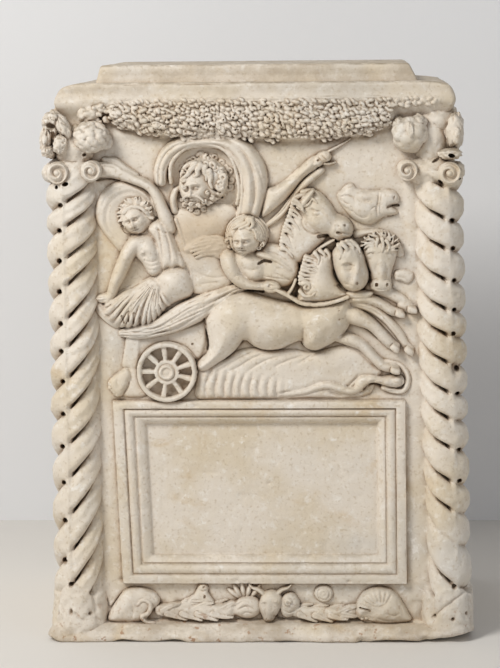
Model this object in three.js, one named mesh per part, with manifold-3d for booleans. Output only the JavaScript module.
// Roman funerary altar of white marble, carved from one block.
// Millimetres, +Z up, the carved front faces -Y. The origin is the centre of the footprint, on the underside.
// The front carries a garland, a chariot scene in relief, a blank inscription panel in a moulded frame
// and a low frieze. Twisted columns stand at the two front corners. The sides and the back are plain.
import * as THREE from "three";
import { mergeVertices } from "three/addons/utils/BufferGeometryUtils.js";
import Module from "manifold-3d";

const wasm = await Module();
wasm.setup();

// ---- driving dimensions -------------------------------------------------
const HEIGHT = 815; // underside to the top of the raised slab
const BODY_TOP = 790;
const GROUND_Y = -168; // ground of the relief
const BACK_Y = 203;
const SIDE_LEFT = -273; // ground of the left side
const SIDE_RIGHT_TOP = 257; // the right side leans out a little towards the foot
const SIDE_RIGHT_FOOT = 268;
const FASCIA_RISE = 14; // the band behind the garland stands this proud
const STRIP_RISE = 13; // plain strips at the rear corners
const STRIP_WIDE = 62;
const PLINTH_RISE = 35;
const PLINTH_TOP = 20;
const PLINTH_LEFT = -311;
const PLINTH_RIGHT = 299;
const CARVE_X = -(PLINTH_LEFT + PLINTH_RIGHT) / 2; // the carving's own centre line is a little off the block's

const COLUMN_R = 35; // over the strands
const COLUMN_GROOVE = 9;
const COLUMN_PITCH = 43; // groove to groove, up the column
const COLUMN_STRANDS = 4;
const COLUMN_Y = -160;
const COLUMN_FOOT_Z = 64;
const COLUMN_TOP_Z = 662;
const LEFT_COLUMN = [-266, -265]; // x of the axis at the top, at the foot
const RIGHT_COLUMN = [250, 261];

// ---- small solid modelling helpers ---------------------------------------
const parts = [];
const cuts = [];

function solid(geometry) {
  const g = geometry.index ? geometry.toNonIndexed() : geometry.clone();
  const bare = new THREE.BufferGeometry().setAttribute("position", g.getAttribute("position"));
  const merged = mergeVertices(bare, 1e-3);
  const made = new wasm.Manifold(
    new wasm.Mesh({
      numProp: 3,
      vertProperties: new Float32Array(merged.attributes.position.array),
      triVerts: new Uint32Array(merged.index.array),
    }),
  );
  return made;
}

const add = (geometry) => parts.push(solid(geometry));
const cut = (geometry) => cuts.push(solid(geometry));

// An outline in the XZ plane, pushed from y0 to y1.
function slab(outline, y0, y1, bevel = 0) {
  const shape = new THREE.Shape(outline.map(([x, z]) => new THREE.Vector2(x, z)));
  const g = new THREE.ExtrudeGeometry(shape, {
    depth: y1 - y0 - 2 * bevel,
    bevelEnabled: bevel > 0,
    bevelThickness: bevel,
    bevelSize: bevel,
    bevelOffset: -bevel,
    bevelSegments: 2,
    curveSegments: 8,
  });
  g.rotateX(Math.PI / 2); // shape y becomes z, depth runs to -y
  g.translate(0, y1 - bevel, 0);
  return g;
}

// A flattened ellipsoid half sunk in the ground: centre x, z, half sizes, tilt in degrees, rise over the ground.
function mound([x, z, rx, rz, tilt, rise], ground = GROUND_Y, wide = 9, tall = 6) {
  const g = new THREE.SphereGeometry(1, wide, tall);
  g.rotateX(Math.PI / 2);
  g.scale(rx, rise, rz);
  g.rotateY(THREE.MathUtils.degToRad(-tilt));
  g.translate(x, ground, z);
  return g;
}

// A limb or a fold: rings of half width r and the given rise along stations [x, z, r, rise].
function limb(stations, ground = GROUND_Y, sides = 6, base = 0) {
  const n = stations.length;
  const v = [];
  const ring = (i) => {
    const a = stations[Math.max(0, i - 1)],
      b = stations[Math.min(n - 1, i + 1)];
    const d = new THREE.Vector2(b[0] - a[0], b[1] - a[1]).normalize();
    const [x, z, r, rise] = stations[i];
    const out = [];
    for (let k = 0; k < sides; k++) {
      const f = (2 * Math.PI * k) / sides;
      out.push([x - d.y * r * Math.cos(f), ground - base - rise * Math.sin(f), z + d.x * r * Math.cos(f)]);
    }
    return out;
  };
  const rings = stations.map((_, i) => ring(i));
  const tri = (p, q, s) => v.push(...p, ...q, ...s);
  for (let i = 0; i + 1 < n; i++)
    for (let k = 0; k < sides; k++) {
      const m = (k + 1) % sides;
      tri(rings[i][k], rings[i + 1][k], rings[i + 1][m]);
      tri(rings[i][k], rings[i + 1][m], rings[i][m]);
    }
  const end = (i, flip) => {
    const [x, z] = stations[i];
    const c = [x, ground - base, z];
    for (let k = 0; k < sides; k++) {
      const m = (k + 1) % sides;
      if (flip) tri(c, rings[i][k], rings[i][m]);
      else tri(c, rings[i][m], rings[i][k]);
    }
  };
  end(0, true);
  end(n - 1, false);
  const g = new THREE.BufferGeometry().setAttribute("position", new THREE.Float32BufferAttribute(v, 3));
  return g;
}

// Makes sure that a solid's faces point out, whichever way it was wound.
function addOut(geometry) {
  let m = solid(geometry);
  if (m.volume() < 0) {
    const p = geometry.getAttribute("position");
    const a = p.array;
    for (let i = 0; i < a.length; i += 9)
      for (let c = 0; c < 3; c++) {
        const t = a[i + 3 + c];
        a[i + 3 + c] = a[i + 6 + c];
        a[i + 6 + c] = t;
      }
    m = solid(geometry);
  }
  parts.push(m);
}

// ---- the block ------------------------------------------------------------
add(
  slab(
    [
      [SIDE_LEFT, 0],
      [SIDE_RIGHT_FOOT, 0],
      [SIDE_RIGHT_TOP, BODY_TOP - 10],
      [SIDE_LEFT, BODY_TOP - 10],
    ],
    GROUND_Y,
    BACK_Y - 4,
  ),
);
// plain strips up the rear corners, in place of columns
for (const [xa, xb] of [
  [SIDE_LEFT - STRIP_RISE, SIDE_LEFT + 40],
  [SIDE_RIGHT_TOP - 40, SIDE_RIGHT_FOOT + STRIP_RISE - 4],
])
  add(
    slab(
      [
        [xa, 8],
        [xb, 8],
        [xb, 740],
        [xa, 740],
      ],
      BACK_Y - STRIP_WIDE,
      BACK_Y,
      2,
    ),
  );
// band behind the garland and the worn upper corners
add(
  slab(
    [
      [-287, 728],
      [271, 722],
      [269, 762],
      [262, 780],
      [248, BODY_TOP],
      [-258, BODY_TOP],
      [-274, 784],
      [-283, 768],
    ],
    GROUND_Y - FASCIA_RISE,
    BACK_Y,
    4,
  ),
);
// raised slab on the top
add(
  slab(
    [
      [-227, BODY_TOP - 6],
      [214, BODY_TOP - 6],
      [207, 805],
      [199, HEIGHT],
      [-213, HEIGHT],
      [-222, 807],
    ],
    GROUND_Y + 14,
    BACK_Y - 22,
    5,
  ),
);
// plinth, with the worn right corner
{
  const g = new THREE.ExtrudeGeometry(
    new THREE.Shape(
      [
        [PLINTH_LEFT, GROUND_Y - PLINTH_RISE + 5],
        [PLINTH_LEFT + 5, GROUND_Y - PLINTH_RISE],
        [250, GROUND_Y - PLINTH_RISE],
        [284, GROUND_Y - PLINTH_RISE + 14],
        [PLINTH_RIGHT, GROUND_Y - PLINTH_RISE + 34],
        [PLINTH_RIGHT, BACK_Y],
        [PLINTH_LEFT, BACK_Y],
      ].map(([x, y]) => new THREE.Vector2(x, y)),
    ),
    { depth: PLINTH_TOP, bevelEnabled: false },
  );
  add(g);
}

// ---- twisted columns --------------------------------------------------------
function column([xTop, xFoot], hand) {
  const n = 4 * COLUMN_STRANDS;
  const rows = 32;
  const lead = COLUMN_PITCH * COLUMN_STRANDS;
  const v = [];
  const rings = [];
  for (let j = 0; j <= rows; j++) {
    const t = j / rows;
    const z = COLUMN_FOOT_Z + (COLUMN_TOP_Z - COLUMN_FOOT_Z) * t;
    const cx = xFoot + (xTop - xFoot) * t;
    const turn = (hand * 2 * Math.PI * z) / lead;
    const ring = [];
    for (let k = 0; k < n; k++) {
      const a = (2 * Math.PI * k) / n + turn;
      const r = COLUMN_R - (k % 4 === 0 ? COLUMN_GROOVE : k % 4 === 2 ? 0 : 1.5);
      ring.push([cx + r * Math.sin(a), COLUMN_Y - r * Math.cos(a), z]);
    }
    rings.push(ring);
  }
  const tri = (p, q, s) => v.push(...p, ...q, ...s);
  for (let j = 0; j < rows; j++)
    for (let k = 0; k < n; k++) {
      const m = (k + 1) % n;
      const [a, b, c, d] = [rings[j][k], rings[j][m], rings[j + 1][m], rings[j + 1][k]];
      // the short diagonal follows the strand
      if (hand > 0) {
        tri(a, b, d);
        tri(b, c, d);
      } else {
        tri(a, b, c);
        tri(a, c, d);
      }
    }
  for (const [j, up] of [
    [0, false],
    [rows, true],
  ]) {
    const c = [j ? xTop : xFoot, COLUMN_Y, rings[j][0][2]];
    for (let k = 0; k < n; k++) {
      const m = (k + 1) % n;
      if (up) tri(c, rings[j][k], rings[j][m]);
      else tri(c, rings[j][m], rings[j][k]);
    }
  }
  return new THREE.BufferGeometry().setAttribute("position", new THREE.Float32BufferAttribute(v, 3));
}
addOut(column(LEFT_COLUMN, 1));
addOut(column(RIGHT_COLUMN, -1));

// a foot like a calyx under each column, and the corner leaves and volutes over it
function foot(x, z0, z1, r0, r1) {
  const g = new THREE.CylinderGeometry(r1, r0, z1 - z0, 14, 2);
  g.rotateX(Math.PI / 2);
  g.translate(x, COLUMN_Y, (z0 + z1) / 2);
  return g;
}
add(foot(LEFT_COLUMN[1], PLINTH_TOP - 6, 84, 41, 34));
add(foot(RIGHT_COLUMN[1] - 1, PLINTH_TOP - 6, 84, 38, 33));

function volute(x, y, z, r, thick, side) {
  const g = new THREE.CylinderGeometry(r, r, thick, 12);
  if (side) g.rotateZ(Math.PI / 2);
  g.translate(x, y, z);
  return g;
}
for (const [x, z, r] of [
  [-281, 667, 15],
  [-238, 670, 13],
  [208, 667, 13],
  [262, 666, 16],
])
  add(volute(x, GROUND_Y - 6, z, r, 44, false));
for (const x of [SIDE_LEFT - 12, SIDE_RIGHT_TOP + 4])
  for (const y of [COLUMN_Y + 22, COLUMN_Y - 14]) add(volute(x, y, 668, 14, 46, true));
// buds and leaves: x, y from the column's axis, z, half sizes
for (const [x, dy, z, a, b, c] of [
  [-238, -10, 722, 26, 24, 27],
  [207, -10, 717, 27, 24, 27],
  [-288, -14, 724, 22, 20, 30],
  [268, -14, 718, 15, 18, 32],
  [-289, 30, 722, 21, 24, 28],
  [264, 30, 720, 17, 24, 28],
  [-268, -10, 690, 24, 22, 36],
  [240, -10, 690, 22, 20, 36],
]) {
  const y = COLUMN_Y + dy;
  const g = new THREE.SphereGeometry(1, 10, 7);
  g.rotateX(Math.PI / 2);
  g.scale(a, b, c);
  g.translate(x, y, z);
  add(g);
}

// ---- garland ---------------------------------------------------------------
const GARLAND = { x0: -208, x1: 180, endZ: 744, sag: 9, half: 21, rise: 27, leaves: 13 };
{
  const stations = [];
  for (let i = 0; i <= 10; i++) {
    const t = i / 10;
    const s = 4 * t * (1 - t);
    stations.push([
      GARLAND.x0 + (GARLAND.x1 - GARLAND.x0) * t,
      GARLAND.endZ - GARLAND.sag * s + 2 * t,
      GARLAND.half - 5 + 7 * s,
      GARLAND.rise - 7 + 5 * s,
    ]);
  }
  addOut(limb(stations, GROUND_Y, 8));
  for (let row = 0; row < 3; row++)
    for (let i = 0; i < GARLAND.leaves; i++) {
      const t = (i + 0.5 + 0.5 * (row % 2)) / (GARLAND.leaves + 0.5);
      const s = 4 * t * (1 - t);
      const z = GARLAND.endZ - GARLAND.sag * s + 2 * t + [-13, 1, 14][row] * (0.8 + 0.2 * s);
      const g = new THREE.OctahedronGeometry(1, 0);
      g.scale(17, 8, 8.5);
      g.translate(GARLAND.x0 + (GARLAND.x1 - GARLAND.x0) * t, GROUND_Y - [16, 22, 15][row] - 3 * s, z);
      add(g);
    }
}

// ---- inscription panel -------------------------------------------------------
const PANEL = { left: [-212, -202], right: [200, 203], foot: 82, head: 344, face: 9, field: -5 };
add(
  slab(
    [
      [PANEL.left[1], PANEL.foot],
      [PANEL.right[1], PANEL.foot],
      [PANEL.right[0], PANEL.head],
      [PANEL.left[0], PANEL.head],
    ],
    GROUND_Y - PANEL.face,
    GROUND_Y + 10,
  ),
);
// Four-sided sinking: wide at the mouth, narrower at the bottom.
function sinking(mouth, bottom, hMouth, hBottom) {
  const [a, b] = [mouth, bottom].map(([x0, x1, z0, z1], i) => {
    const y = GROUND_Y - [hMouth, hBottom][i];
    return [
      [x0, y, z0],
      [x1, y, z0],
      [x1, y, z1],
      [x0, y, z1],
    ];
  });
  const v = [];
  const quad = (p, q, r, s) => v.push(...p, ...q, ...r, ...p, ...r, ...s);
  quad(a[0], a[1], a[2], a[3]);
  quad(b[3], b[2], b[1], b[0]);
  for (let k = 0; k < 4; k++) {
    const m = (k + 1) % 4;
    quad(a[m], a[k], b[k], b[m]);
  }
  return new THREE.BufferGeometry().setAttribute("position", new THREE.Float32BufferAttribute(v, 3));
}
function cutOut(geometry) {
  let m = solid(geometry);
  if (m.volume() < 0) {
    const a = geometry.getAttribute("position").array;
    for (let i = 0; i < a.length; i += 9)
      for (let c = 0; c < 3; c++) {
        const t = a[i + 3 + c];
        a[i + 3 + c] = a[i + 6 + c];
        a[i + 6 + c] = t;
      }
    m = solid(geometry);
  }
  cuts.push(m);
}
cutOut(sinking([-190, 187, 96, 332], [-176, 172, 109, 321], PANEL.face + 0.4, 0.5));
cutOut(sinking([-174, 170, 111, 319], [-162, 157, 122, 309], 0.9, PANEL.field));

// ---- the chariot scene ---------------------------------------------------------
// Broad masses: x, z, half width, half height, tilt, rise.
const MASSES = [
  // near horse: rump, barrel, shoulder, broken foreleg, neck root, head
  [-38, 456, 43, 41, 0, 30],
  [16, 452, 62, 38, 0, 31],
  [80, 452, 40, 37, 0, 32],
  [70, 430, 15, 17, -10, 32],
  [88, 502, 30, 30, 15, 26],
  [98, 532, 20, 28, 12, 28],
  [128, 530, 24, 35, 12, 36],
  // second horse: neck and cheek
  [52, 585, 21, 46, -8, 20],
  [80, 602, 22, 23, 25, 30],
  // third and fourth heads, shallower
  [142, 620, 34, 21, -4, 11],
  [178, 629, 14, 10, -10, 10],
  [174, 556, 22, 30, -10, 14],
  [166, 514, 14, 16, 0, 17],
  // bearded god: head, chest
  [-84, 650, 30, 38, 0, 26],
  [-76, 585, 42, 40, 0, 13],
  // winged child: head, body
  [-21, 576, 26, 28, 0, 34],
  [-22, 537, 34, 24, -25, 22],
  // woman: head, breast, belly, draped lap
  [-180, 606, 22, 26, 20, 26],
  [-152, 553, 26, 30, 30, 22],
  [-124, 515, 26, 30, 10, 22],
  [-180, 480, 42, 32, 15, 18],
  // billowing veil behind her head
  [-184, 604, 50, 50, 0, 6],
  // ground under the horses
  [20, 372, 100, 34, 0, 9],
  [112, 384, 60, 28, 8, 9],
];
for (const m of MASSES) add(mound(m));

// Limbs and folds: stations of x, z, half width, rise.
const LIMBS = [
  // hind leg
  [[-48, 436, 28, 26], [-66, 412, 17, 22], [-84, 396, 9, 16], [-92, 388, 6, 8]],
  // head of the second horse
  [[60, 622, 15, 24], [86, 604, 17, 28], [108, 590, 12, 26], [121, 580, 8, 22]],
  // forelegs, one over the other
  [[118, 472, 13, 16], [146, 464, 11, 16], [170, 444, 9, 15], [184, 424, 7, 12]],
  [[124, 486, 7, 14], [152, 484, 7, 14], [172, 474, 6, 13], [190, 468, 5, 10]],
  [[140, 480, 9, 9], [172, 464, 9, 10], [190, 440, 8, 10], [206, 420, 6, 8]],
  [[106, 430, 9, 16], [136, 424, 8, 16], [158, 402, 8, 15], [180, 388, 8, 14], [196, 380, 6, 10]],
  [[150, 500, 8, 8], [182, 490, 8, 8], [206, 474, 7, 7]],
  [[184, 520, 6, 6], [208, 512, 6, 6]],
  // serpent under the hooves
  [[60, 356, 5, 8], [84, 364, 7, 10], [108, 360, 6, 12], [126, 354, 6, 12], [140, 370, 8, 14], [164, 376, 7, 14], [192, 366, 7, 12]],
  // raised arm of the woman
  [[-208, 680, 9, 10], [-184, 664, 10, 12], [-150, 650, 10, 14], [-134, 622, 11, 16], [-124, 572, 12, 18], [-118, 540, 12, 16]],
  // her lowered arm
  [[-176, 564, 12, 22], [-192, 540, 10, 20], [-206, 510, 8, 18], [-222, 488, 7, 14]],
  // sweep of drapery over the chariot
  [[-194, 442, 9, 14], [-160, 442, 13, 16], [-124, 462, 19, 18], [-92, 476, 16, 18], [-60, 494, 14, 14], [-34, 504, 6, 10]],
  // mantle blown round the bearded god
  [[-142, 654, 10, 9], [-136, 684, 11, 11], [-110, 706, 12, 14], [-72, 714, 13, 17], [-34, 700, 17, 18], [-14, 668, 21, 19], [-12, 630, 20, 17], [-18, 604, 14, 12]],
  // his outstretched arm and hand
  [[4, 628, 18, 10], [34, 642, 14, 12], [60, 664, 11, 13], [78, 678, 9, 13], [92, 690, 9, 12], [112, 704, 4, 8]],
  [[78, 672, 5, 12], [97, 675, 3, 8]],
  // rein arm of the child, and his wing
  [[-46, 542, 13, 28], [-34, 520, 11, 28], [-12, 507, 9, 28], [8, 506, 8, 26], [22, 500, 5, 20]],
  [[-44, 556, 9, 14], [-70, 564, 10, 12], [-98, 566, 6, 8]],
  [[-6, 548, 12, 18], [20, 548, 10, 14], [44, 534, 8, 10]],
  // chariot's side and the foot behind the wheel
  [[-186, 432, 12, 7], [-184, 400, 16, 7], [-184, 380, 12, 6]],
  [[-192, 386, 9, 8], [-206, 370, 10, 9], [-208, 356, 5, 7]],
];
for (const s of LIMBS) addOut(limb(s));

// wheel: rim, hub and nine spokes
const WHEEL = { x: -135, z: 386, r: 43, rim: 7.5, hub: 10, spokes: 9, rise: 16 };
{
  const ring = new THREE.Shape().absarc(0, 0, WHEEL.r, 0, 2 * Math.PI);
  ring.holes.push(new THREE.Path().absarc(0, 0, WHEEL.r - WHEEL.rim, 0, 2 * Math.PI, true));
  const g = new THREE.ExtrudeGeometry(ring, { depth: WHEEL.rise + 6, bevelEnabled: false, curveSegments: 14 });
  g.rotateX(Math.PI / 2);
  g.translate(WHEEL.x, GROUND_Y + 6, WHEEL.z);
  add(g);
  const hub = new THREE.CylinderGeometry(WHEEL.hub, WHEEL.hub + 4, WHEEL.rise + 8, 12);
  hub.rotateX(Math.PI);
  hub.translate(WHEEL.x, GROUND_Y - WHEEL.rise / 2 + 2, WHEEL.z);
  add(hub);
  for (let i = 0; i < WHEEL.spokes; i++) {
    const a = ((20 + (360 / WHEEL.spokes) * i) * Math.PI) / 180;
    const s = new THREE.BoxGeometry(WHEEL.r - 4, WHEEL.rise + 2, 4.5);
    s.translate(WHEEL.r / 2, 0, 0);
    s.rotateY(-a);
    s.translate(WHEEL.x, GROUND_Y - WHEEL.rise / 2 + 3, WHEEL.z);
    add(s);
  }
}

// ---- low frieze over the plinth --------------------------------------------------
const FRIEZE = [
  [-186, 46, 40, 26, 8, 14],
  [-168, 44, 18, 18, 0, 17],
  [-96, 40, 40, 12, 0, 10],
  [-92, 60, 16, 16, 40, 12],
  [-30, 44, 40, 20, 12, 13],
  [20, 52, 26, 28, 0, 16],
  [60, 40, 40, 12, -6, 11],
  [88, 66, 13, 13, 0, 12],
  [112, 38, 30, 11, 0, 10],
  [180, 44, 42, 30, 0, 24],
  [144, 34, 16, 16, 0, 17],
];
for (const m of FRIEZE) add(mound(m, GROUND_Y, 8, 6));

// ---- one stone -------------------------------------------------------------------
let altar = wasm.Manifold.union(parts);
altar = altar.subtract(wasm.Manifold.union(cuts));
// nothing is left over behind the back or under the foot
const trim = solid(new THREE.BoxGeometry(900, 900, 1000).translate(0, BACK_Y - 450, 500));
altar = altar.intersect(trim);
altar = altar.simplify ? altar.simplify(0.5) : altar;
const pieces = altar.decompose().sort((a, b) => b.volume() - a.volume());
altar = pieces[0];

const out = altar.getMesh();
const position = new Float32Array(out.numVert * 3);
for (let i = 0; i < out.numVert; i++)
  for (let c = 0; c < 3; c++) position[3 * i + c] = out.vertProperties[i * out.numProp + c];
const geometry = new THREE.BufferGeometry();
geometry.setAttribute("position", new THREE.BufferAttribute(position, 3));
geometry.setIndex(new THREE.BufferAttribute(new Uint32Array(out.triVerts), 1));
geometry.computeVertexNormals();

const marble = new THREE.MeshStandardMaterial({ color: new THREE.Color(0.69, 0.6, 0.47), roughness: 0.62, metalness: 0 });
const altarMesh = new THREE.Mesh(geometry, marble);
altarMesh.name = "marble_altar";
altarMesh.position.x = CARVE_X;

const object = new THREE.Group();
object.add(altarMesh);
export default object;
